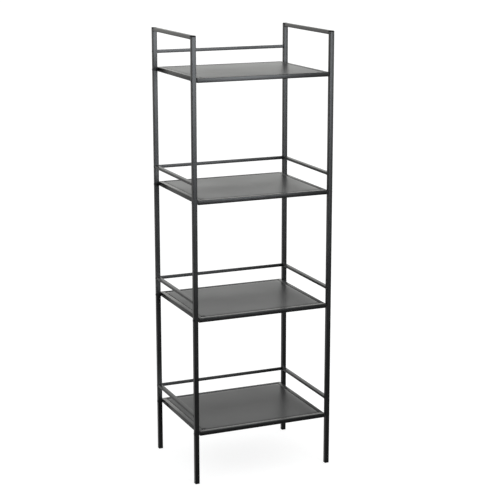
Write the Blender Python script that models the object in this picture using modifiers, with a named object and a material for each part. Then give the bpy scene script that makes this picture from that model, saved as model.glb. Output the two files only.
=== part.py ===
"""A free-standing four-tier metal storage rack: two side frames joined by four bolted shelves.

Metres, +Z up, the front faces -Y. The origin is on the floor, under the middle of the rack.
"""

from math import atan2, cos, pi, radians, sin, sqrt, tan

import bmesh
import bpy
from mathutils import Matrix, Vector

# Overall size
WIDTH = 0.400
DEPTH = 0.300
HEIGHT = 1.200

# Square tube of the legs and of the shelf frames
TUBE = 0.012
TUBE_WALL = 0.001
TUBE_RADIUS = 0.0012
GAP = 0.0003

# Shelves: the height of each shelf's top, lowest first
SHELF_COUNT = 4
LOWEST_SHELF_TOP = 0.148
SHELF_PITCH = 0.315
SHELF_LEG_SPACE = 0.002
PANEL_DROP = 0.0002
PANEL_SPACE = 0.0008
PANEL_SHEET = 0.001
PANEL_FLANGE = 0.008
PANEL_RADIUS = 0.002

# Rails between the legs, measured from each shelf's top to the middle of the rail
RAIL_RISE = 0.042
SIDE_RAIL_HEIGHT = 0.007
TOP_BAR_HEIGHT = 0.010
TOP_BAR_LEAN = radians(5)
REAR_RAIL_HEIGHT = 0.009
REAR_RAIL_DEPTH = 0.004
REAR_RAIL_RADIUS = 0.0008

# Plastic caps in the ends of the legs
TOP_CAP_HEIGHT = 0.003
FOOT_HEIGHT = 0.004
CAP_STEM_LENGTH = 0.012
CAP_ROUNDING = 0.0008

# Bolts through the legs, and the rivet nut that each one screws into
BOLT_RADIUS = 0.002
BOLT_LENGTH = 0.0185
BOLT_HEAD_RADIUS = 0.0036
BOLT_HEAD_HEIGHT = 0.0013
BOLT_RIM_SHARE = 0.45
BOLT_POINT_LENGTH = 0.0005
BOLT_SOCKET_RADIUS = 0.0014
BOLT_SOCKET_DEPTH = 0.0009
BOLT_HOLE_RADIUS = 0.0024
RIVET_FLANGE_RADIUS = 0.0042

# Facets
CORNER_STEPS = 2
TURNED_STEPS = 12
HOLE_STEPS = 10
HEAD_STEPS = 3
SHARP_ANGLE = 0.9

# Modelling limits
LEAST_RADIUS = 0.0003
WELD_DISTANCE = 0.00001

# Worked out from the sizes above
HALF_WIDTH = WIDTH / 2
HALF_DEPTH = DEPTH / 2
LEG_X = HALF_WIDTH - TUBE / 2
LEG_Y = HALF_DEPTH - TUBE / 2
SHELF_HALF_WIDTH = HALF_WIDTH - TUBE - SHELF_LEG_SPACE
SHELF_TOPS = [LOWEST_SHELF_TOP + SHELF_PITCH * i for i in range(SHELF_COUNT)]
SIDES = (("left", -1), ("right", 1))
ENDS = (("front", -1), ("rear", 1))


def clear_scene():
    """Start from an empty scene."""
    for obj in list(bpy.data.objects):
        bpy.data.objects.remove(obj)


def new_collection(name):
    collection = bpy.data.collections.new(name)
    bpy.context.scene.collection.children.link(collection)
    return collection


def new_material(name, colour, roughness, metallic):
    """A Principled material with one colour."""
    material = bpy.data.materials.new(name)
    material.use_nodes = True
    shader = material.node_tree.nodes["Principled BSDF"]
    shader.inputs["Base Color"].default_value = (*colour, 1)
    shader.inputs["Roughness"].default_value = roughness
    shader.inputs["Metallic"].default_value = metallic
    material.diffuse_color = (*colour, 1)
    return material


def rounded_outline(width, height, radius):
    """Points of a rectangle with round corners, anticlockwise."""
    points = []
    corners = ((1, 1), (-1, 1), (-1, -1), (1, -1))
    for number, (side_x, side_y) in enumerate(corners):
        centre_x = side_x * (width / 2 - radius)
        centre_y = side_y * (height / 2 - radius)
        for step in range(CORNER_STEPS + 1):
            angle = pi / 2 * (number + step / CORNER_STEPS)
            points.append((centre_x + radius * cos(angle), centre_y + radius * sin(angle)))
    return points


def add_outline(curve, points):
    spline = curve.splines.new("POLY")
    spline.points.add(len(points) - 1)
    for point, (x, y) in zip(spline.points, points):
        point.co = (x, y, 0, 1)
    spline.use_cyclic_u = True


def tube_mesh(name, width, height, length, radius):
    """A rectangular tube along local Z, open at both ends, centred on its origin."""
    curve = bpy.data.curves.new(name, "CURVE")
    curve.dimensions = "2D"
    curve.fill_mode = "BOTH"
    curve.extrude = length / 2
    add_outline(curve, rounded_outline(width, height, radius))
    inner_width = width - 2 * TUBE_WALL
    inner_height = height - 2 * TUBE_WALL
    inner_radius = max(radius - TUBE_WALL, LEAST_RADIUS)
    add_outline(curve, rounded_outline(inner_width, inner_height, inner_radius))
    source = bpy.data.objects.new(name + "_outline", curve)
    bpy.context.scene.collection.objects.link(source)
    bpy.context.view_layer.update()
    evaluated = source.evaluated_get(bpy.context.evaluated_depsgraph_get())
    mesh = bpy.data.meshes.new_from_object(evaluated)
    bpy.data.objects.remove(source)
    shape = bmesh.new()
    shape.from_mesh(mesh)
    bmesh.ops.remove_doubles(shape, verts=shape.verts, dist=WELD_DISTANCE)
    bmesh.ops.recalc_face_normals(shape, faces=shape.faces)
    shape.to_mesh(mesh)
    shape.free()
    mesh.name = name
    return mesh


def lean_sides(mesh, height, lean):
    """Lean both sides of a tube towards its middle, from the bottom at local -Y up."""
    for vertex in mesh.vertices:
        rise = vertex.co.y + height / 2
        side = 1 if vertex.co.x > 0 else -1
        vertex.co.x -= side * rise * tan(lean)


def mitre_ends(mesh, length, depth):
    """Cut both ends at 45 degrees, with the long side of the tube at local -Y."""
    trim = GAP / sqrt(2)
    for vertex in mesh.vertices:
        end = 1 if vertex.co.z > 0 else -1
        vertex.co.z = end * (length / 2 - trim - (vertex.co.y + depth / 2))


def place(mesh, name, material, collection, location, turn=(0, 0, 0)):
    """An object of this mesh, with its material, at a place and a turn in radians."""
    if not mesh.materials:
        mesh.materials.append(material)
    mesh.shade_smooth()
    mesh.set_sharp_from_angle(angle=SHARP_ANGLE)
    obj = bpy.data.objects.new(name, mesh)
    obj.location = location
    obj.rotation_euler = turn
    collection.objects.link(obj)
    return obj


def cut(obj, cutter, operation="DIFFERENCE"):
    boolean = obj.modifiers.new(operation.lower(), "BOOLEAN")
    boolean.operation = operation
    boolean.object = cutter


def hide(obj):
    obj.hide_render = True
    obj.display_type = "WIRE"


def cylinders(name, collection, radius, length, centres):
    """Cylinders along X at these centres, as one hidden helper for a Boolean."""
    shape = bmesh.new()
    for centre in centres:
        lying = Matrix.Translation(centre) @ Matrix.Rotation(pi / 2, 4, "Y")
        bmesh.ops.create_cone(
            shape,
            cap_ends=True,
            segments=HOLE_STEPS,
            radius1=radius,
            radius2=radius,
            depth=length,
            matrix=lying,
        )
    mesh = bpy.data.meshes.new(name)
    shape.to_mesh(mesh)
    shape.free()
    obj = bpy.data.objects.new(name, mesh)
    collection.objects.link(obj)
    hide(obj)
    return obj


def bolt_heights():
    """The middle of each shelf's frame, where its bolts go in."""
    return [top - TUBE / 2 for top in SHELF_TOPS]


def make_legs(parts, cutters, material):
    """Four upright tubes, each with a cross hole at every shelf."""
    bottom = FOOT_HEIGHT + GAP
    length = HEIGHT - TOP_CAP_HEIGHT - GAP - bottom
    mesh = tube_mesh("leg", TUBE, TUBE, length, TUBE_RADIUS)
    for end, end_y in ENDS:
        for side, side_x in SIDES:
            x = side_x * LEG_X
            y = end_y * LEG_Y
            leg = place(mesh, f"leg_{end}_{side}", material, parts, (x, y, bottom + length / 2))
            centres = [Vector((x, y, z)) for z in bolt_heights()]
            holes = f"cut_leg_{end}_{side}"
            cut(leg, cylinders(holes, cutters, BOLT_HOLE_RADIUS, 2 * TUBE, centres))


def make_side_bars(parts, material):
    """The bars that join a front leg to a rear leg: one at the top and one over each lower shelf."""
    length = DEPTH - 2 * TUBE - 2 * GAP
    top_mesh = tube_mesh("top_bar", TUBE, TOP_BAR_HEIGHT, length, TUBE_RADIUS)
    lean_sides(top_mesh, TOP_BAR_HEIGHT, TOP_BAR_LEAN)
    rail_mesh = tube_mesh("side_rail", TUBE, SIDE_RAIL_HEIGHT, length, TUBE_RADIUS)
    lying = (pi / 2, 0, 0)
    for side, side_x in SIDES:
        x = side_x * LEG_X
        top_z = HEIGHT - TOP_BAR_HEIGHT / 2
        place(top_mesh, f"top_bar_{side}", material, parts, (x, 0, top_z), lying)
        for tier, shelf_top in enumerate(SHELF_TOPS[:-1], 1):
            name = f"side_rail_{tier}_{side}"
            place(rail_mesh, name, material, parts, (x, 0, shelf_top + RAIL_RISE), lying)


def make_rear_rails(parts, material):
    """A flat rail behind every shelf, standing on edge between the rear legs."""
    length = WIDTH - 2 * TUBE - 2 * GAP
    mesh = tube_mesh("rear_rail", REAR_RAIL_HEIGHT, REAR_RAIL_DEPTH, length, REAR_RAIL_RADIUS)
    for tier, shelf_top in enumerate(SHELF_TOPS, 1):
        location = (0, LEG_Y, shelf_top + RAIL_RISE)
        place(mesh, f"rear_rail_{tier}", material, parts, location, (0, pi / 2, 0))


def make_shelf_bars(tier, shelf_top, parts, cutters, material):
    """The mitred frame of one shelf. Its side bars hold the rivet nuts, whose flanges meet the legs."""
    z = shelf_top - TUBE / 2
    for end, end_y in ENDS:
        name = f"shelf_{tier}_{end}_bar"
        length = 2 * SHELF_HALF_WIDTH
        mesh = tube_mesh(name, TUBE, TUBE, length, TUBE_RADIUS)
        mitre_ends(mesh, length, TUBE)
        turn = 0 if end_y < 0 else pi
        place(mesh, name, material, parts, (0, end_y * LEG_Y, z), (0, pi / 2, turn))
    for side, side_x in SIDES:
        name = f"shelf_{tier}_{side}_bar"
        mesh = tube_mesh(name, TUBE, TUBE, DEPTH, TUBE_RADIUS)
        mitre_ends(mesh, DEPTH, TUBE)
        x = side_x * (SHELF_HALF_WIDTH - TUBE / 2)
        bar = place(mesh, name, material, parts, (x, 0, z), (0, pi / 2, side_x * pi / 2))
        flange_height = SHELF_LEG_SPACE - GAP
        sunk = TUBE_WALL / 2
        flange_x = side_x * (SHELF_HALF_WIDTH + (flange_height - sunk) / 2)
        flange_centres = [Vector((flange_x, end_y * LEG_Y, z)) for _, end_y in ENDS]
        flanges = f"join_flange_{tier}_{side}"
        flange_size = (RIVET_FLANGE_RADIUS, flange_height + sunk)
        cut(bar, cylinders(flanges, cutters, *flange_size, flange_centres), "UNION")
        hole_x = side_x * SHELF_HALF_WIDTH
        hole_centres = [Vector((hole_x, end_y * LEG_Y, z)) for _, end_y in ENDS]
        holes = f"cut_shelf_{tier}_{side}"
        cut(bar, cylinders(holes, cutters, BOLT_HOLE_RADIUS, TUBE / 2, hole_centres))


def panel_mesh():
    """A sheet-metal tray turned upside down: a flat top with a flange down each side."""
    width = 2 * (SHELF_HALF_WIDTH - TUBE - PANEL_SPACE)
    depth = 2 * (HALF_DEPTH - TUBE - PANEL_SPACE)
    shape = bmesh.new()
    bmesh.ops.create_cube(shape, size=1)
    bmesh.ops.scale(shape, vec=(width, depth, PANEL_FLANGE), verts=shape.verts)
    bmesh.ops.translate(shape, vec=(0, 0, -PANEL_FLANGE / 2), verts=shape.verts)
    lowest = min(shape.faces, key=lambda face: face.calc_center_median().z)
    bmesh.ops.delete(shape, geom=[lowest], context="FACES_ONLY")
    bent = [edge for edge in shape.edges if len(edge.link_faces) == 2]
    bmesh.ops.bevel(
        shape,
        geom=bent,
        offset=PANEL_RADIUS,
        segments=CORNER_STEPS,
        profile=0.5,
        affect="EDGES",
    )
    mesh = bpy.data.meshes.new("panel")
    shape.to_mesh(mesh)
    shape.free()
    return mesh


def make_panels(parts, material):
    """The sheet that fills each shelf's frame, its top just under the frame's."""
    mesh = panel_mesh()
    for tier, shelf_top in enumerate(SHELF_TOPS, 1):
        location = (0, 0, shelf_top - PANEL_DROP)
        panel = place(mesh, f"shelf_{tier}_panel", material, parts, location)
        shell = panel.modifiers.new("sheet", "SOLIDIFY")
        shell.thickness = PANEL_SHEET
        shell.offset = -1
        shell.use_even_offset = True


def cap_mesh(name, height):
    """A plug for the end of a leg: a head as wide as the tube and a stem that points up into it."""
    shape = bmesh.new()
    bmesh.ops.create_cube(shape, size=1)
    bmesh.ops.scale(shape, vec=(TUBE, TUBE, height), verts=shape.verts)
    bmesh.ops.translate(shape, vec=(0, 0, height / 2), verts=shape.verts)
    upright = [edge for edge in shape.edges if abs(edge.verts[0].co.z - edge.verts[1].co.z) > height / 2]
    bmesh.ops.bevel(
        shape,
        geom=upright,
        offset=TUBE_RADIUS,
        segments=CORNER_STEPS,
        profile=0.5,
        affect="EDGES",
    )
    underside = [edge for edge in shape.edges if max(vertex.co.z for vertex in edge.verts) < height / 2]
    bmesh.ops.bevel(
        shape,
        geom=underside,
        offset=CAP_ROUNDING,
        segments=1,
        profile=0.5,
        affect="EDGES",
    )
    head_top = max(shape.faces, key=lambda face: face.calc_center_median().z)
    rim = TUBE_WALL + GAP
    bmesh.ops.inset_individual(shape, faces=[head_top], thickness=rim, use_even_offset=True)
    raised = bmesh.ops.extrude_face_region(shape, geom=[head_top])
    stem = [item for item in raised["geom"] if isinstance(item, bmesh.types.BMVert)]
    bmesh.ops.translate(shape, vec=(0, 0, CAP_STEM_LENGTH), verts=stem)
    bmesh.ops.delete(shape, geom=[head_top], context="FACES_ONLY")
    bmesh.ops.recalc_face_normals(shape, faces=shape.faces)
    mesh = bpy.data.meshes.new(name)
    shape.to_mesh(mesh)
    shape.free()
    return mesh


def make_caps(parts, material):
    """A foot in the bottom of each leg and a cap in its top."""
    foot_mesh = cap_mesh("foot", FOOT_HEIGHT)
    top_mesh = cap_mesh("top_cap", TOP_CAP_HEIGHT)
    for end, end_y in ENDS:
        for side, side_x in SIDES:
            x = side_x * LEG_X
            y = end_y * LEG_Y
            place(foot_mesh, f"foot_{end}_{side}", material, parts, (x, y, 0))
            turned = (pi, 0, 0)
            place(top_mesh, f"top_cap_{end}_{side}", material, parts, (x, y, HEIGHT), turned)


def bolt_profile():
    """Half of the bolt's outline, from the middle of the head to the tip, along X and Z."""
    crown = BOLT_HEAD_HEIGHT * BOLT_RIM_SHARE
    rise = BOLT_HEAD_HEIGHT - crown
    sphere = (BOLT_HEAD_RADIUS**2 + rise**2) / (2 * rise)
    widest = atan2(BOLT_HEAD_RADIUS, sphere - rise)
    points = [(0, BOLT_HEAD_HEIGHT)]
    for step in range(1, HEAD_STEPS + 1):
        angle = widest * step / HEAD_STEPS
        points.append((sphere * sin(angle), BOLT_HEAD_HEIGHT - sphere * (1 - cos(angle))))
    points.append((BOLT_HEAD_RADIUS, 0))
    points.append((BOLT_RADIUS, 0))
    points.append((BOLT_RADIUS, BOLT_POINT_LENGTH - BOLT_LENGTH))
    points.append((BOLT_RADIUS - BOLT_POINT_LENGTH, -BOLT_LENGTH))
    points.append((0, -BOLT_LENGTH))
    return points


def bolt_mesh(cutters):
    """A button-head bolt along local Z with a hexagonal socket, its head's seat at the origin."""
    outline = bpy.data.meshes.new("bolt_outline")
    points = [(x, 0, z) for x, z in bolt_profile()]
    edges = [(i, i + 1) for i in range(len(points) - 1)]
    outline.from_pydata(points, edges, [])
    turned = bpy.data.objects.new("bolt_outline", outline)
    cutters.objects.link(turned)
    screw = turned.modifiers.new("turn", "SCREW")
    screw.steps = TURNED_STEPS
    screw.render_steps = TURNED_STEPS
    screw.use_merge_vertices = True
    screw.merge_threshold = WELD_DISTANCE
    socket = bpy.data.meshes.new("cut_socket")
    shape = bmesh.new()
    bmesh.ops.create_cone(
        shape,
        cap_ends=True,
        segments=6,
        radius1=BOLT_SOCKET_RADIUS,
        radius2=BOLT_SOCKET_RADIUS,
        depth=2 * BOLT_SOCKET_DEPTH,
    )
    bmesh.ops.translate(shape, vec=(0, 0, BOLT_HEAD_HEIGHT), verts=shape.verts)
    shape.to_mesh(socket)
    shape.free()
    socket_cutter = bpy.data.objects.new("cut_socket", socket)
    cutters.objects.link(socket_cutter)
    hide(socket_cutter)
    cut(turned, socket_cutter)
    bpy.context.view_layer.update()
    evaluated = turned.evaluated_get(bpy.context.evaluated_depsgraph_get())
    mesh = bpy.data.meshes.new_from_object(evaluated)
    mesh.name = "bolt"
    bpy.data.objects.remove(turned)
    return mesh


def make_bolts(parts, cutters, material):
    """A bolt through each leg into each shelf, its head on the leg's outer face."""
    mesh = bolt_mesh(cutters)
    for tier, z in enumerate(bolt_heights(), 1):
        for end, end_y in ENDS:
            for side, side_x in SIDES:
                name = f"bolt_{tier}_{end}_{side}"
                location = (side_x * (HALF_WIDTH + GAP), end_y * LEG_Y, z)
                place(mesh, name, material, parts, location, (0, side_x * pi / 2, 0))


def build():
    clear_scene()
    parts = new_collection("storage_rack")
    cutters = new_collection("cutters")
    powder_coat = new_material("powder_coat_black", (0.030, 0.030, 0.031), 0.38, 0.0)
    panel_coat = new_material("panel_coat_black", (0.034, 0.034, 0.035), 0.42, 0.0)
    plastic = new_material("cap_plastic_black", (0.020, 0.020, 0.020), 0.55, 0.0)
    bolt_steel = new_material("bolt_black_steel", (0.040, 0.040, 0.042), 0.35, 0.9)
    make_legs(parts, cutters, powder_coat)
    make_side_bars(parts, powder_coat)
    make_rear_rails(parts, powder_coat)
    for tier, shelf_top in enumerate(SHELF_TOPS, 1):
        make_shelf_bars(tier, shelf_top, parts, cutters, powder_coat)
    make_panels(parts, panel_coat)
    make_caps(parts, plastic)
    make_bolts(parts, cutters, bolt_steel)


build()
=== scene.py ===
"""The looks of the four-tier storage rack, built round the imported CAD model.

Every tube, sheet, cap and bolt of the CAD model is replaced by a finer mesh in the same place, and the welds,
rivet-nut flanges and rail screws that the CAD model leaves out are added. Metres, +Z up, front at -Y.
"""

from math import cos, pi, radians, sin, sqrt, tan

import bmesh
import bpy
from mathutils import Matrix, Vector


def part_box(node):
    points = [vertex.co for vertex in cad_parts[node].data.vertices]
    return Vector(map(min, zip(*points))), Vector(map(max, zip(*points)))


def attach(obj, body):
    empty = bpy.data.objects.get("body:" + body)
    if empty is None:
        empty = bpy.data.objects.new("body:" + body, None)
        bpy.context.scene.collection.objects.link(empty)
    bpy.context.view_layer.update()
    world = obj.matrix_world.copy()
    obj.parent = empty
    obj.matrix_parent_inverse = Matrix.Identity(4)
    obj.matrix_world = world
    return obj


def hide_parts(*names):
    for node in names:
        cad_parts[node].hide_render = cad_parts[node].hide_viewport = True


# Camera: where it stands, and where it looks as a turn about Z and a tilt
CAMERA_PLACE = (-1.517, -3.560, 1.514)
CAMERA_YAW = radians(-23.41)
CAMERA_TILT = radians(-13.32)
CAMERA_LENS = 104.3
SENSOR_WIDTH = 36.0

# Details of the steelwork
TUBE_RADIUS = 0.0012
REAR_RAIL_RADIUS = 0.0008
CORNER_STEPS = 6
END_CHAMFER = 0.0002
TOP_BAR_LEAN = radians(5)
GAP = 0.0003
SEAM_HALF_WIDTH = 0.00035
SEAM_DEPTH = 0.00008

# Angles between faces, in radians, from which an edge is drawn sharp
SHARP_EDGE = 0.7
SHARP_TURNED_EDGE = 0.6
SHARP_CAP_EDGE = 0.5

# Shelf panels
BEND_RADIUS = 0.002
BEND_STEPS = 6
SHEET = 0.001
PANEL_CELLS = (30, 24)
PANEL_WAVE = 0.00012

# Welds
BEAD_SIDES = 10
BEAD_RADIUS = 0.0011
GROUND_BEAD_RADIUS = 0.00035
GROUND_DEPTH = 0.00005
RIPPLE_LENGTH = 0.0016
RIPPLE_DEPTH = 0.12
POINTS_PER_RIPPLE = 5
TACK_LENGTH = 0.014
TACK_RADIUS = 0.0010
TACK_STEPS = 26
TACK_SHARES = (0.12, 0.5, 0.88)
LEAST_TAPER = 0.02

# Plastic caps
STEM_INSET = 0.0013
RIM_RADIUS = 0.0009
RIM_STEPS = 5
GROOVE = 0.0003
LEAST_CAP_RADIUS = 0.0004

# Bolts and rivet nuts
HEAD_RADIUS = 0.0036
HEAD_HEIGHT = 0.0013
HEAD_CHAMFER = 0.0001
HEAD_STEPS = 7
HEAD_RIM_SHARE = 0.4
HEAD_FLAT_SHARE = 1.25
SHANK_RADIUS = 0.002
SHANK_LENGTH = 0.0185
SOCKET_RADIUS = 0.0014
SOCKET_DEPTH = 0.0009
RAIL_SCREW_SLIMNESS = 0.6
TURNED_STEPS = 36
FLANGE_RADIUS = 0.0042
FLANGE_CHAMFER_SHARE = 0.15
KNURLS = 24
STEPS_PER_KNURL = 4
KNURL_DEPTH = 0.00012

# Materials. A drift is how far the roughness strays, a depth is the height in metres of some fine relief, and
# a relief is how strongly it shows. NOISE_MIDDLE is the part of a noise's range that is spread over the whole.
NOISE_MIDDLE = (0.3, 0.7)
COAT_DRIFT = 0.03
COAT_RELIEF = 0.25
COAT_SPECULAR = 0.5
PEEL_DEPTH = 0.00006
DUST_DEPTH = 0.00002
PLASTIC_DRIFT = 0.06
PLASTIC_SPECULAR = 0.12
GRAIN_DEPTH = 0.00005
GRAIN_RELIEF = 0.5
MARK_DEPTH = 0.00002
MARK_RELIEF = 0.4
STEEL_METALLIC = 0.85

# Studio floor
FLOOR_HALF_SIZE = 400
FLOOR_DROP = 0.0002
FLOOR_GLOW = 0.78
FLOOR_ROUGHNESS = 0.9
FLOOR_SPECULAR = 0.1

# Sky: its colours by the sine of the height above the horizon, and its strength. Below the horizon, where only
# gloss shows it, it is one grey in front and another behind. These fade into each other over a range of the
# direction's Y, and into the sky over a range of its Z.
SKY_STOPS = (
    (0.0, (1.05, 1.04, 1.0)),
    (0.20, (0.99, 1.0, 0.98)),
    (0.27, (0.93, 0.945, 0.94)),
    (0.334, (0.56, 0.57, 0.56)),
    (0.44, (0.50, 0.50, 0.50)),
    (0.64, (0.80, 0.80, 0.80)),
)
SKY_STRENGTH = 1.25
FRONT_GROUND = 0.012
REAR_GROUND = 0.40
REAR_FADE = (0.3, 0.8)
HORIZON_FADE = (-0.084, 0.0)

# Lights: name, place, what it points at, width, height, watts, colour
LIGHTS = (
    ("front_softbox", (1.08, -3.9, 1.20), (0, 0, 1.0), 1.9, 1.5, 68, (0.94, 0.985, 1.04)),
    ("left_fill", (-3.4, -2.3, 0.6), (0, 0, 0.6), 1.4, 1.0, 14, (1.0, 1.0, 1.0)),
    ("right_fill", (3.5, 2.0, 0.6), (0, 0, 0.6), 1.4, 1.0, 14, (1.0, 1.0, 1.0)),
)

TIERS = (1, 2, 3, 4)
SIDES = (("left", -1), ("right", 1))
ENDS = (("front", -1), ("rear", 1))

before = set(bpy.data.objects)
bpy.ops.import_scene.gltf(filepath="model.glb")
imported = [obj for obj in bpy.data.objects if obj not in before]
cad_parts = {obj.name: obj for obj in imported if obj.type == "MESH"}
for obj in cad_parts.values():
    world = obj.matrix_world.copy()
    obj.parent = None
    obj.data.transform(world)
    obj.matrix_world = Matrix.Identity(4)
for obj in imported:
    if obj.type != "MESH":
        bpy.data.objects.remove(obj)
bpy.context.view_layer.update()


# ---------------------------------------------------------------- materials


def grey(level):
    return (level, level, level)


def new_material(name):
    """A material with a Principled shader, and the tools to wire nodes into it."""
    material = bpy.data.materials.new(name)
    material.use_nodes = True
    tree = material.node_tree
    return material, tree, tree.nodes["Principled BSDF"]


def noise(tree, place, per_metre, detail=2.0, roughness=0.5):
    """Noise that follows the object's own coordinates, with this many blotches to the metre."""
    node = tree.nodes.new("ShaderNodeTexNoise")
    node.inputs["Scale"].default_value = per_metre
    node.inputs["Detail"].default_value = detail
    node.inputs["Roughness"].default_value = roughness
    tree.links.new(place, node.inputs["Vector"])
    return node.outputs["Fac"]


def spread(tree, value, low, high, part=NOISE_MIDDLE):
    """Stretch this part of a value's range over the range from low to high."""
    node = tree.nodes.new("ShaderNodeMapRange")
    node.inputs["From Min"].default_value = part[0]
    node.inputs["From Max"].default_value = part[1]
    node.inputs["To Min"].default_value = low
    node.inputs["To Max"].default_value = high
    tree.links.new(value, node.inputs["Value"])
    return node.outputs["Result"]


def mix_colours(tree, factor, first, second):
    """Mix two colours, each of them either three fixed numbers or a node's output."""
    node = tree.nodes.new("ShaderNodeMix")
    node.data_type = "RGBA"
    tree.links.new(factor, node.inputs["Factor"])
    for end, colour in (("A", first), ("B", second)):
        if isinstance(colour, tuple):
            node.inputs[end].default_value = (*colour, 1)
        else:
            tree.links.new(colour, node.inputs[end])
    return node.outputs["Result"]


def mottle(tree, shader, value, dark, light):
    """Base colour that runs from dark to light with this noise."""
    colour = mix_colours(tree, spread(tree, value, 0.0, 1.0), dark, light)
    tree.links.new(colour, shader.inputs["Base Color"])


def bump(tree, height, depth, strength, below=None):
    """Relief of this depth in metres, laid over the relief below."""
    node = tree.nodes.new("ShaderNodeBump")
    node.inputs["Distance"].default_value = depth
    node.inputs["Strength"].default_value = strength
    tree.links.new(height, node.inputs["Height"])
    if below is not None:
        tree.links.new(below, node.inputs["Normal"])
    return node.outputs["Normal"]


def object_coordinates(tree):
    return tree.nodes.new("ShaderNodeTexCoord").outputs["Object"]


def powder_coat(name, dark, light, roughness):
    """Satin powder coat: a fine orange-peel skin, a little speckle, and gloss that drifts slowly."""
    material, tree, shader = new_material(name)
    place = object_coordinates(tree)
    speckle = noise(tree, place, per_metre=900, detail=3.0, roughness=0.6)
    drift = noise(tree, place, per_metre=5)
    peel = noise(tree, place, per_metre=520, detail=1.5, roughness=0.4)
    dust = noise(tree, place, per_metre=2600, detail=1.0)
    mottle(tree, shader, speckle, dark, light)
    gloss = spread(tree, drift, roughness - COAT_DRIFT, roughness + COAT_DRIFT)
    tree.links.new(gloss, shader.inputs["Roughness"])
    skin = bump(tree, peel, PEEL_DEPTH, COAT_RELIEF)
    tree.links.new(bump(tree, dust, DUST_DEPTH, COAT_RELIEF, skin), shader.inputs["Normal"])
    shader.inputs["Specular IOR Level"].default_value = COAT_SPECULAR
    return material


def moulded_plastic(name, dark, light, roughness):
    """Matt moulded plastic with a fine spark-eroded grain."""
    material, tree, shader = new_material(name)
    place = object_coordinates(tree)
    grain = noise(tree, place, per_metre=2200, detail=3.0, roughness=0.65)
    flow = noise(tree, place, per_metre=120)
    mottle(tree, shader, flow, dark, light)
    gloss = spread(tree, grain, roughness - PLASTIC_DRIFT, roughness + PLASTIC_DRIFT)
    tree.links.new(gloss, shader.inputs["Roughness"])
    tree.links.new(bump(tree, grain, GRAIN_DEPTH, GRAIN_RELIEF), shader.inputs["Normal"])
    shader.inputs["Specular IOR Level"].default_value = PLASTIC_SPECULAR
    return material


def coated_steel(name, dark, light, smooth, rough):
    """Black-coated bolt steel: metal with a thin dark finish and fine tool marks."""
    material, tree, shader = new_material(name)
    place = object_coordinates(tree)
    blotch = noise(tree, place, per_metre=700, detail=3.0, roughness=0.6)
    marks = noise(tree, place, per_metre=3800, detail=2.0, roughness=0.7)
    mottle(tree, shader, blotch, dark, light)
    tree.links.new(spread(tree, blotch, smooth, rough), shader.inputs["Roughness"])
    tree.links.new(bump(tree, marks, MARK_DEPTH, MARK_RELIEF), shader.inputs["Normal"])
    shader.inputs["Metallic"].default_value = STEEL_METALLIC
    return material


def pale_floor():
    """A plain pale studio floor that glows a little, as a light table does, to keep the shadows faint."""
    material, tree, shader = new_material("studio_floor")
    cloud = noise(tree, object_coordinates(tree), per_metre=1.5)
    mottle(tree, shader, cloud, grey(0.30), grey(0.32))
    shader.inputs["Roughness"].default_value = FLOOR_ROUGHNESS
    shader.inputs["Specular IOR Level"].default_value = FLOOR_SPECULAR
    shader.inputs["Emission Color"].default_value = (1, 1, 1, 1)
    shader.inputs["Emission Strength"].default_value = FLOOR_GLOW
    return material


# ---------------------------------------------------------------- mesh tools


def rounded_outline(width, height, radius):
    """Points of a rectangle with round corners, anticlockwise, round its own middle."""
    points = []
    corners = ((1, 1), (-1, 1), (-1, -1), (1, -1))
    for number, (side_x, side_y) in enumerate(corners):
        centre_x = side_x * (width / 2 - radius)
        centre_y = side_y * (height / 2 - radius)
        for step in range(CORNER_STEPS + 1):
            angle = pi / 2 * (number + step / CORNER_STEPS)
            points.append((centre_x + radius * cos(angle), centre_y + radius * sin(angle)))
    return points


def skin_rings(shape, rings, closed=False):
    """Faces between each ring of points and the next, with caps on the first and last unless it is closed."""
    corners = [[shape.verts.new(point) for point in ring] for ring in rings]
    count = len(corners[0])
    pairs = list(zip(corners, corners[1:]))
    if closed:
        pairs.append((corners[-1], corners[0]))
    for near, far in pairs:
        for i in range(count):
            after = (i + 1) % count
            shape.faces.new((near[i], near[after], far[after], far[i]))
    if not closed:
        shape.faces.new(reversed(corners[0]))
        shape.faces.new(corners[-1])


def finish_mesh(shape, name, sharp=SHARP_EDGE):
    """The bmesh as a mesh, facing out, smooth but for its sharp edges."""
    bmesh.ops.recalc_face_normals(shape, faces=shape.faces)
    mesh = bpy.data.meshes.new(name)
    shape.to_mesh(mesh)
    shape.free()
    mesh.shade_smooth()
    mesh.set_sharp_from_angle(angle=sharp)
    return mesh


def add_piece(mesh, name, material, stands_for=(), place=None):
    """An object that rides on the rack, in its material, standing for these CAD nodes."""
    if not mesh.materials:
        mesh.materials.append(material)
    piece = bpy.data.objects.new(name, mesh)
    if place is not None:
        piece.matrix_world = place
    bpy.context.scene.collection.objects.link(piece)
    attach(piece, "root")
    if stands_for:
        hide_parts(*stands_for)
    return piece


def ring_at(axis, station, middle, outline):
    """An outline set square to an axis, at a station along it."""
    across, up = ((1, 2), (2, 0), (0, 1))[axis]
    ring = []
    for x, y in outline:
        point = Vector((0, 0, 0))
        point[axis] = station
        point[across] = middle[across] + x
        point[up] = middle[up] + y
        ring.append(point)
    return ring


def tube_along(axis, low, high, radius, name, chamfer=END_CHAMFER):
    """A straight rounded tube that fills this box, its ends closed by a fine chamfer."""
    across, up = ((1, 2), (2, 0), (0, 1))[axis]
    middle = (low + high) / 2
    width = high[across] - low[across]
    height = high[up] - low[up]
    full = rounded_outline(width, height, radius)
    small = rounded_outline(width - 2 * chamfer, height - 2 * chamfer, radius - chamfer)
    stations = (
        (low[axis], small),
        (low[axis] + chamfer, full),
        (high[axis] - chamfer, full),
        (high[axis], small),
    )
    shape = bmesh.new()
    skin_rings(shape, [ring_at(axis, station, middle, outline) for station, outline in stations])
    return finish_mesh(shape, name)


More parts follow.
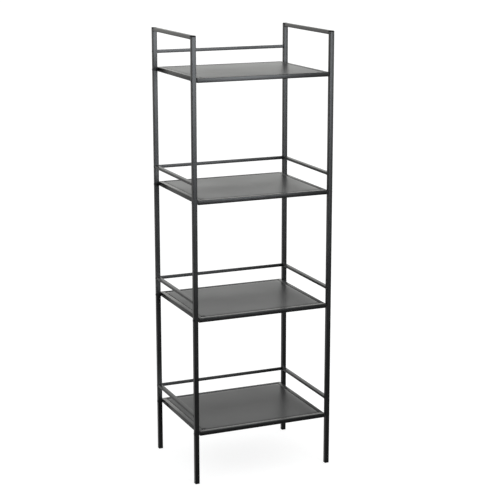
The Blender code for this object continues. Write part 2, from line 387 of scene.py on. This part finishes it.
def bead_rings(path, radii, normal, closed):
    """Rings round a path that lies in a plane with this normal."""
    rings = []
    count = len(path)
    for i, (point, radius) in enumerate(zip(path, radii)):
        before = path[i - 1] if closed or i else path[i]
        after = path[(i + 1) % count] if closed or i < count - 1 else path[i]
        along = (after - before).normalized()
        side = along.cross(normal)
        ring = []
        for step in range(BEAD_SIDES):
            angle = 2 * pi * step / BEAD_SIDES
            ring.append(point + radius * (cos(angle) * side + sin(angle) * normal))
        rings.append(ring)
    return rings


def ripple(distance, radius):
    """The weld's radius at this distance along it."""
    return radius * (1 + RIPPLE_DEPTH * sin(2 * pi * distance / RIPPLE_LENGTH))


# ---------------------------------------------------------------- side frames


def add_legs(material):
    for end, _ in ENDS:
        for side, _ in SIDES:
            node = f"leg_{end}_{side}"
            low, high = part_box(node)
            mesh = tube_along(2, low, high, TUBE_RADIUS, node)
            add_piece(mesh, node + "_tube", material, [node])


def add_cross_bar(node, axis, radius, material):
    """A bar between two legs, run the last fraction of a millimetre up to their faces."""
    low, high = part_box(node)
    low[axis] -= GAP
    high[axis] += GAP
    add_piece(tube_along(axis, low, high, radius, node), node + "_tube", material, [node])


def add_top_bar(node, material):
    """A top bar, its sides leaning in a little towards its top."""
    low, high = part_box(node)
    low.y -= GAP
    high.y += GAP
    mesh = tube_along(1, low, high, TUBE_RADIUS, node)
    middle = (low + high) / 2
    for vertex in mesh.vertices:
        side = 1 if vertex.co.x > middle.x else -1
        vertex.co.x -= side * (vertex.co.z - low.z) * tan(TOP_BAR_LEAN)
    add_piece(mesh, node + "_tube", material, [node])


def weld_round(node, end_y):
    """The weld round one end of a side bar: full beads above and below, ground nearly flush at the sides."""
    low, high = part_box(node)
    width = high.x - low.x
    height = high.z - low.z
    middle = (low + high) / 2
    station = high.y + GAP if end_y > 0 else low.y - GAP
    outline = rounded_outline(width, height, TUBE_RADIUS)
    corners = [Vector((middle.x + x, station, middle.z + z)) for x, z in outline]
    path = []
    spacing = RIPPLE_LENGTH / POINTS_PER_RIPPLE
    for start, stop in zip(corners, corners[1:] + corners[:1]):
        parts = max(1, round((stop - start).length / spacing))
        path += [start.lerp(stop, part / parts) for part in range(parts)]
    radii = []
    travelled = 0.0
    for i, point in enumerate(path):
        travelled += (point - path[i - 1]).length if i else 0.0
        from_side = (width / 2 - abs(point.x - middle.x)) / TUBE_RADIUS
        share = min(1.0, max(0.0, from_side))
        radius = GROUND_BEAD_RADIUS + (BEAD_RADIUS - GROUND_BEAD_RADIUS) * share
        radii.append(ripple(travelled, radius))
    return bead_rings(path, radii, Vector((0, 1, 0)), True)


def add_side_frame_welds(side, material):
    """All the welds of one side frame, as one piece."""
    shape = bmesh.new()
    for tier in TIERS[:-1]:
        for _, end_y in ENDS:
            skin_rings(shape, weld_round(f"side_rail_{tier}_{side}", end_y), closed=True)
    top_bar = f"top_bar_{side}"
    _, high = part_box(top_bar)
    for _, end_y in ENDS:
        rings = weld_round(top_bar, end_y)
        for ring in rings:
            for point in ring:
                point.z = min(point.z, high.z - GROUND_DEPTH)
        skin_rings(shape, rings, closed=True)
    add_piece(finish_mesh(shape, f"welds_{side}"), f"side_frame_welds_{side}", material)


# ---------------------------------------------------------------- shelves


def shelf_box(tier):
    """The box of one shelf's frame, without the rivet nuts' flanges."""
    front_low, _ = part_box(f"shelf_{tier}_front_bar")
    _, rear_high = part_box(f"shelf_{tier}_rear_bar")
    return front_low, rear_high


def frame_rings(low, high, section):
    """Rings of a mitred tube frame: three at each corner, the middle one sunk where the weld was ground."""
    middle = (low + high) / 2
    half_x = (high.x - low.x) / 2 - section / 2
    half_y = (high.y - low.y) / 2 - section / 2
    full = rounded_outline(section, section, TUBE_RADIUS)
    sunk = rounded_outline(
        section - 2 * SEAM_DEPTH, section - 2 * SEAM_DEPTH, TUBE_RADIUS - SEAM_DEPTH
    )
    corners = ((-1, -1), (1, -1), (1, 1), (-1, 1))
    rings = []
    for number, (side_x, side_y) in enumerate(corners):
        last_x, last_y = corners[number - 1]
        next_x, next_y = corners[(number + 1) % 4]
        arriving = Vector((side_x - last_x, side_y - last_y, 0)).normalized()
        leaving = Vector((next_x - side_x, next_y - side_y, 0)).normalized()
        for outline, shift in (
            (full, -SEAM_HALF_WIDTH * arriving),
            (sunk, Vector((0, 0, 0))),
            (full, SEAM_HALF_WIDTH * leaving),
        ):
            ring = []
            for out, up in outline:
                x = middle.x + side_x * (half_x + out)
                y = middle.y + side_y * (half_y + out)
                ring.append(Vector((x, y, middle.z + up)) + shift)
            rings.append(ring)
    return rings


def add_shelf_frame(tier, material):
    low, high = shelf_box(tier)
    shape = bmesh.new()
    skin_rings(shape, frame_rings(low, high, high.z - low.z), closed=True)
    nodes = [f"shelf_{tier}_{bar}_bar" for bar in ("front", "rear", "left", "right")]
    mesh = finish_mesh(shape, f"shelf_{tier}_frame")
    add_piece(mesh, f"shelf_{tier}_frame", material, nodes)


def panel_wave(tier, along, across):
    """How far the sheet bows from flat, at a place that runs from 0 to 1 along it and across it.

    It doesn't bow at its edges. Between them it has a slow wave, a quicker and lower one, and a slight sag,
    different on each tier.
    """
    edge = 16 * along * (1 - along) * across * (1 - across)
    slow = sin(2.3 * pi * along + 1.7 * tier) * cos(1.9 * pi * across - 0.9 * tier)
    quick = 0.35 * sin(5.1 * pi * along - tier) * sin(4.3 * pi * across + 2.1 * tier)
    return PANEL_WAVE * edge * (slow + quick - 0.6)


def panel_mesh(tier):
    """A sheet with its four sides bent down into flanges that stop short of each other at the corners."""
    low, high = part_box(f"shelf_{tier}_panel")
    cells_x, cells_y = PANEL_CELLS
    inner_low = Vector((low.x + BEND_RADIUS, low.y + BEND_RADIUS))
    inner_high = Vector((high.x - BEND_RADIUS, high.y - BEND_RADIUS))
    shape = bmesh.new()
    grid = []
    for i in range(cells_x + 1):
        column = []
        for j in range(cells_y + 1):
            along = i / cells_x
            across = j / cells_y
            x = inner_low.x + (inner_high.x - inner_low.x) * along
            y = inner_low.y + (inner_high.y - inner_low.y) * across
            column.append(shape.verts.new((x, y, high.z + panel_wave(tier, along, across))))
        grid.append(column)
    for i in range(cells_x):
        for j in range(cells_y):
            shape.faces.new((grid[i][j], grid[i + 1][j], grid[i + 1][j + 1], grid[i][j + 1]))
    edges = (
        ([grid[i][0] for i in range(cells_x + 1)], Vector((0, -1, 0))),
        ([grid[cells_x][j] for j in range(cells_y + 1)], Vector((1, 0, 0))),
        ([grid[i][cells_y] for i in range(cells_x, -1, -1)], Vector((0, 1, 0))),
        ([grid[0][j] for j in range(cells_y, -1, -1)], Vector((-1, 0, 0))),
    )
    for top_edge, outward in edges:
        fold_down(shape, top_edge, outward, low.z)
    return finish_mesh(shape, f"shelf_{tier}_panel_sheet")


def fold_down(shape, top_edge, outward, lowest):
    """Bend the sheet down from this edge, and carry it on as a flange to the lowest height."""
    drops = []
    for step in range(1, BEND_STEPS + 1):
        angle = pi / 2 * step / BEND_STEPS
        drops.append((BEND_RADIUS * sin(angle), BEND_RADIUS * (1 - cos(angle))))
    flange = top_edge[0].co.z - lowest
    drops.append((BEND_RADIUS, flange / 2))
    drops.append((BEND_RADIUS, flange))
    row = top_edge
    for out, down in drops:
        below = [shape.verts.new(vert.co + out * outward - Vector((0, 0, down))) for vert in top_edge]
        for i in range(len(row) - 1):
            shape.faces.new((row[i + 1], row[i], below[i], below[i + 1]))
        row = below


def add_panel(tier, material):
    panel = add_piece(
        panel_mesh(tier), f"shelf_{tier}_sheet", material, [f"shelf_{tier}_panel"]
    )
    thickness = panel.modifiers.new("thickness", "SOLIDIFY")
    thickness.thickness = SHEET
    thickness.offset = -1


def add_tacks(tier, material):
    """Short welds under a shelf, between the panel's flanges and its frame."""
    low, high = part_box(f"shelf_{tier}_panel")
    shape = bmesh.new()
    places = []
    for share in TACK_SHARES:
        x = low.x + (high.x - low.x) * share
        y = low.y + (high.y - low.y) * share
        places += [((x, low.y), (1, 0)), ((x, high.y), (1, 0))]
        places += [((low.x, y), (0, 1)), ((high.x, y), (0, 1))]
    for (x, y), (along_x, along_y) in places:
        path = []
        radii = []
        for step in range(TACK_STEPS + 1):
            share = step / TACK_STEPS
            distance = (share - 0.5) * TACK_LENGTH
            path.append(Vector((x + distance * along_x, y + distance * along_y, low.z)))
            taper = sqrt(max(LEAST_TAPER, 1 - (2 * share - 1) ** 4))
            radii.append(ripple(distance, TACK_RADIUS * taper))
        skin_rings(shape, bead_rings(path, radii, Vector((0, 0, 1)), False))
    add_piece(finish_mesh(shape, f"shelf_{tier}_tacks"), f"shelf_{tier}_tack_welds", material)


# ---------------------------------------------------------------- caps


def add_cap(node, material, profile):
    """A plastic cap: the leg's outline, drawn in by the profile's insets at its heights in metres."""
    low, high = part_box(node)
    middle = (low + high) / 2
    width = high.x - low.x
    rings = []
    for height, inset in profile:
        radius = max(LEAST_CAP_RADIUS, TUBE_RADIUS - inset)
        outline = rounded_outline(width - 2 * inset, width - 2 * inset, radius)
        rings.append(ring_at(2, height, middle, outline))
    shape = bmesh.new()
    skin_rings(shape, rings)
    mesh = finish_mesh(shape, node + "_cap", SHARP_CAP_EDGE)
    add_piece(mesh, node + "_cap", material, [node])


def rim(height, upwards):
    """Heights and insets of a cap's rounded rim, whose flat side is at this height."""
    turn = 1 if upwards else -1
    points = []
    for step in range(RIM_STEPS + 1):
        angle = pi / 2 * step / RIM_STEPS
        points.append((height - turn * RIM_RADIUS * (1 - sin(angle)), RIM_RADIUS * (1 - cos(angle))))
    return points


def add_caps(material):
    """Feet in the bottoms of the legs and caps in their tops, each with a fine groove next to its leg."""
    for end, _ in ENDS:
        for side, _ in SIDES:
            leg_low, leg_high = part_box(f"leg_{end}_{side}")
            foot_low, foot_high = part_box(f"foot_{end}_{side}")
            foot_seat = leg_low.z - GAP
            foot = rim(foot_low.z, False)[::-1] + [
                (foot_seat - GROOVE, 0.0),
                (foot_seat, GROOVE),
                (foot_seat, STEM_INSET),
                (foot_high.z, STEM_INSET),
            ]
            add_cap(f"foot_{end}_{side}", material, foot)
            cap_low, cap_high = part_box(f"top_cap_{end}_{side}")
            cap_seat = leg_high.z + GAP
            cap = [
                (cap_low.z, STEM_INSET),
                (cap_seat, STEM_INSET),
                (cap_seat, GROOVE),
                (cap_seat + GROOVE, 0.0),
            ] + rim(cap_high.z, True)
            add_cap(f"top_cap_{end}_{side}", material, cap)


# ---------------------------------------------------------------- bolts and rivet nuts


def turned_mesh(profile, name):
    """A profile of radius and height, turned round local Z and closed at both ends."""
    shape = bmesh.new()
    rings = []
    for radius, height in profile:
        ring = []
        for step in range(TURNED_STEPS):
            angle = 2 * pi * step / TURNED_STEPS
            ring.append(Vector((radius * cos(angle), radius * sin(angle), height)))
        rings.append(ring)
    skin_rings(shape, rings)
    return finish_mesh(shape, name, SHARP_TURNED_EDGE)


def bolt_profile():
    """A button head over a plain shank, from the tip up. The head's seat is at height 0."""
    point = SHANK_RADIUS / 4
    rim_top = HEAD_HEIGHT * HEAD_RIM_SHARE
    flat_radius = SOCKET_RADIUS * HEAD_FLAT_SHARE
    profile = [
        (SHANK_RADIUS - point, -SHANK_LENGTH),
        (SHANK_RADIUS, point - SHANK_LENGTH),
        (SHANK_RADIUS, 0.0),
        (HEAD_RADIUS - HEAD_CHAMFER, 0.0),
        (HEAD_RADIUS, HEAD_CHAMFER),
    ]
    for step in range(HEAD_STEPS + 1):
        angle = pi / 2 * step / HEAD_STEPS
        radius = flat_radius + (HEAD_RADIUS - flat_radius) * cos(angle)
        profile.append((radius, rim_top + (HEAD_HEIGHT - rim_top) * sin(angle)))
    return profile


def bolt_mesh():
    """The bolt with its hexagonal socket cut out."""
    solid = bpy.data.objects.new("bolt_blank", turned_mesh(bolt_profile(), "bolt"))
    shape = bmesh.new()
    bmesh.ops.create_cone(
        shape,
        cap_ends=True,
        segments=6,
        radius1=SOCKET_RADIUS,
        radius2=SOCKET_RADIUS,
        depth=2 * SOCKET_DEPTH,
        matrix=Matrix.Translation((0, 0, HEAD_HEIGHT)),
    )
    cutter = bpy.data.objects.new("bolt_socket", finish_mesh(shape, "bolt_socket"))
    for obj in (solid, cutter):
        bpy.context.scene.collection.objects.link(obj)
    cut = solid.modifiers.new("socket", "BOOLEAN")
    cut.object = cutter
    bpy.context.view_layer.update()
    evaluated = solid.evaluated_get(bpy.context.evaluated_depsgraph_get())
    mesh = bpy.data.meshes.new_from_object(evaluated)
    mesh.set_sharp_from_angle(angle=SHARP_TURNED_EDGE)
    for obj in (solid, cutter):
        bpy.data.objects.remove(obj)
    return mesh


def flange_mesh(thickness):
    """The knurled flange of a rivet nut, its middle at the origin, turned about local Z."""
    shape = bmesh.new()
    chamfer = thickness * FLANGE_CHAMFER_SHARE
    rings = []
    steps = KNURLS * STEPS_PER_KNURL
    stations = (
        (-thickness / 2, FLANGE_RADIUS - chamfer),
        (chamfer - thickness / 2, FLANGE_RADIUS),
        (thickness / 2 - chamfer, FLANGE_RADIUS),
        (thickness / 2, FLANGE_RADIUS - chamfer),
    )
    for height, radius in stations:
        ring = []
        for step in range(steps):
            angle = 2 * pi * step / steps
            toothed = radius + KNURL_DEPTH * (cos(KNURLS * angle) - 1)
            ring.append(Vector((toothed * cos(angle), toothed * sin(angle), height)))
        rings.append(ring)
    skin_rings(shape, rings)
    return finish_mesh(shape, "rivet_flange", SHARP_TURNED_EDGE)


def pointing(location, side_x):
    """A place for something turned, its local Z pointing away from the rack's middle along X."""
    return Matrix.Translation(location) @ Matrix.Rotation(side_x * pi / 2, 4, "Y")


def add_shelf_bolts(mesh, material):
    for tier in TIERS:
        for end, _ in ENDS:
            for side, side_x in SIDES:
                node = f"bolt_{tier}_{end}_{side}"
                low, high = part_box(node)
                middle = (low + high) / 2
                seat = side_x * ((high.x if side_x > 0 else -low.x) - HEAD_HEIGHT)
                place = pointing((seat, middle.y, middle.z), side_x)
                add_piece(mesh, node + "_button", material, [node], place)


def add_rail_screws(mesh, material):
    """The screws through the rear legs that hold the rear rails: the shelf bolt made slimmer."""
    slimmer = Matrix.Diagonal((RAIL_SCREW_SLIMNESS, RAIL_SCREW_SLIMNESS, 1, 1))
    for tier in TIERS:
        rail_low, rail_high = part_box(f"rear_rail_{tier}")
        middle = (rail_low + rail_high) / 2
        for side, side_x in SIDES:
            leg_low, leg_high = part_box(f"leg_rear_{side}")
            face = max(abs(leg_low.x), abs(leg_high.x)) + GAP
            place = pointing((side_x * face, middle.y, middle.z), side_x) @ slimmer
            add_piece(mesh, f"rail_screw_{tier}_{side}", material, place=place)


def add_rivet_flanges(material):
    """The flanges that keep each shelf off its legs."""
    for tier in TIERS:
        _, high = shelf_box(tier)
        for side, side_x in SIDES:
            leg_low, leg_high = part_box(f"leg_front_{side}")
            leg_face = min(abs(leg_low.x), abs(leg_high.x))
            mesh = flange_mesh(leg_face - high.x)
            for end, _ in ENDS:
                bolt_low, bolt_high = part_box(f"bolt_{tier}_{end}_{side}")
                centre = (bolt_low + bolt_high) / 2
                x = side_x * (leg_face + high.x) / 2
                place = pointing((x, centre.y, centre.z), side_x)
                name = f"rivet_flange_{tier}_{end}_{side}"
                add_piece(mesh, name, material, place=place)


# ---------------------------------------------------------------- studio


def add_camera():
    data = bpy.data.cameras.new("camera")
    data.lens = CAMERA_LENS
    data.sensor_width = SENSOR_WIDTH
    camera = bpy.data.objects.new("camera", data)
    camera.location = CAMERA_PLACE
    camera.rotation_euler = (pi / 2 + CAMERA_TILT, 0, CAMERA_YAW)
    bpy.context.scene.collection.objects.link(camera)
    bpy.context.scene.camera = camera


def add_floor():
    """A wide pale floor, a hair under the feet. The rack's gloss shows the sky in its place."""
    shape = bmesh.new()
    bmesh.ops.create_grid(shape, x_segments=8, y_segments=8, size=FLOOR_HALF_SIZE)
    floor = bpy.data.objects.new("studio_floor", finish_mesh(shape, "studio_floor"))
    floor.data.materials.append(pale_floor())
    floor.location.z = -FLOOR_DROP
    floor.visible_glossy = False
    bpy.context.scene.collection.objects.link(floor)


def add_world():
    """The sky all round: pale at the horizon and grey above, and below it dark in front and grey behind."""
    world = bpy.data.worlds.new("studio")
    world.use_nodes = True
    tree = world.node_tree
    background = tree.nodes["Background"]
    direction = tree.nodes.new("ShaderNodeTexCoord").outputs["Generated"]
    split = tree.nodes.new("ShaderNodeSeparateXYZ")
    tree.links.new(direction, split.inputs["Vector"])
    ramp = tree.nodes.new("ShaderNodeValToRGB")
    elements = ramp.color_ramp.elements
    while len(elements) < len(SKY_STOPS):
        elements.new(0.5)
    for element, (rise, colour) in zip(elements, SKY_STOPS):
        element.position = rise
        element.color = (*colour, 1)
    tree.links.new(split.outputs["Z"], ramp.inputs["Fac"])
    rearward = spread(tree, split.outputs["Y"], 0.0, 1.0, REAR_FADE)
    ground = mix_colours(tree, rearward, grey(FRONT_GROUND), grey(REAR_GROUND))
    above = spread(tree, split.outputs["Z"], 0.0, 1.0, HORIZON_FADE)
    tree.links.new(mix_colours(tree, above, ground, ramp.outputs["Color"]), background.inputs["Color"])
    background.inputs["Strength"].default_value = SKY_STRENGTH
    bpy.context.scene.world = world


def add_softbox(name, place, target, width, height, watts, colour):
    """A rectangular light that the camera doesn't see."""
    data = bpy.data.lights.new(name, "AREA")
    data.shape = "RECTANGLE"
    data.size = width
    data.size_y = height
    data.energy = watts
    data.color = colour
    light = bpy.data.objects.new(name, data)
    light.location = place
    light.rotation_euler = (Vector(target) - Vector(place)).to_track_quat("-Z", "Y").to_euler()
    light.visible_camera = False
    bpy.context.scene.collection.objects.link(light)


def add_studio():
    add_camera()
    add_floor()
    add_world()
    for light in LIGHTS:
        add_softbox(*light)
    bpy.context.scene.view_settings.view_transform = "Standard"


# ---------------------------------------------------------------- the rack


def build():
    tube_coat = powder_coat("tube_powder_coat", grey(0.0015), grey(0.0045), roughness=0.31)
    sheet_coat = powder_coat("sheet_powder_coat", grey(0.004), grey(0.009), roughness=0.32)
    cap_plastic = moulded_plastic("moulded_plastic", grey(0.003), grey(0.006), roughness=0.6)
    bolt_steel = coated_steel(
        "bolt_steel", (0.05, 0.05, 0.053), (0.09, 0.09, 0.094), smooth=0.33, rough=0.46
    )
    add_legs(tube_coat)
    for side, _ in SIDES:
        add_top_bar(f"top_bar_{side}", tube_coat)
        for tier in TIERS[:-1]:
            add_cross_bar(f"side_rail_{tier}_{side}", 1, TUBE_RADIUS, tube_coat)
        add_side_frame_welds(side, tube_coat)
    for tier in TIERS:
        add_cross_bar(f"rear_rail_{tier}", 0, REAR_RAIL_RADIUS, tube_coat)
        add_shelf_frame(tier, tube_coat)
        add_panel(tier, sheet_coat)
        add_tacks(tier, tube_coat)
    add_caps(cap_plastic)
    bolt = bolt_mesh()
    add_shelf_bolts(bolt, bolt_steel)
    add_rail_screws(bolt, bolt_steel)
    add_rivet_flanges(bolt_steel)


add_studio()
build()
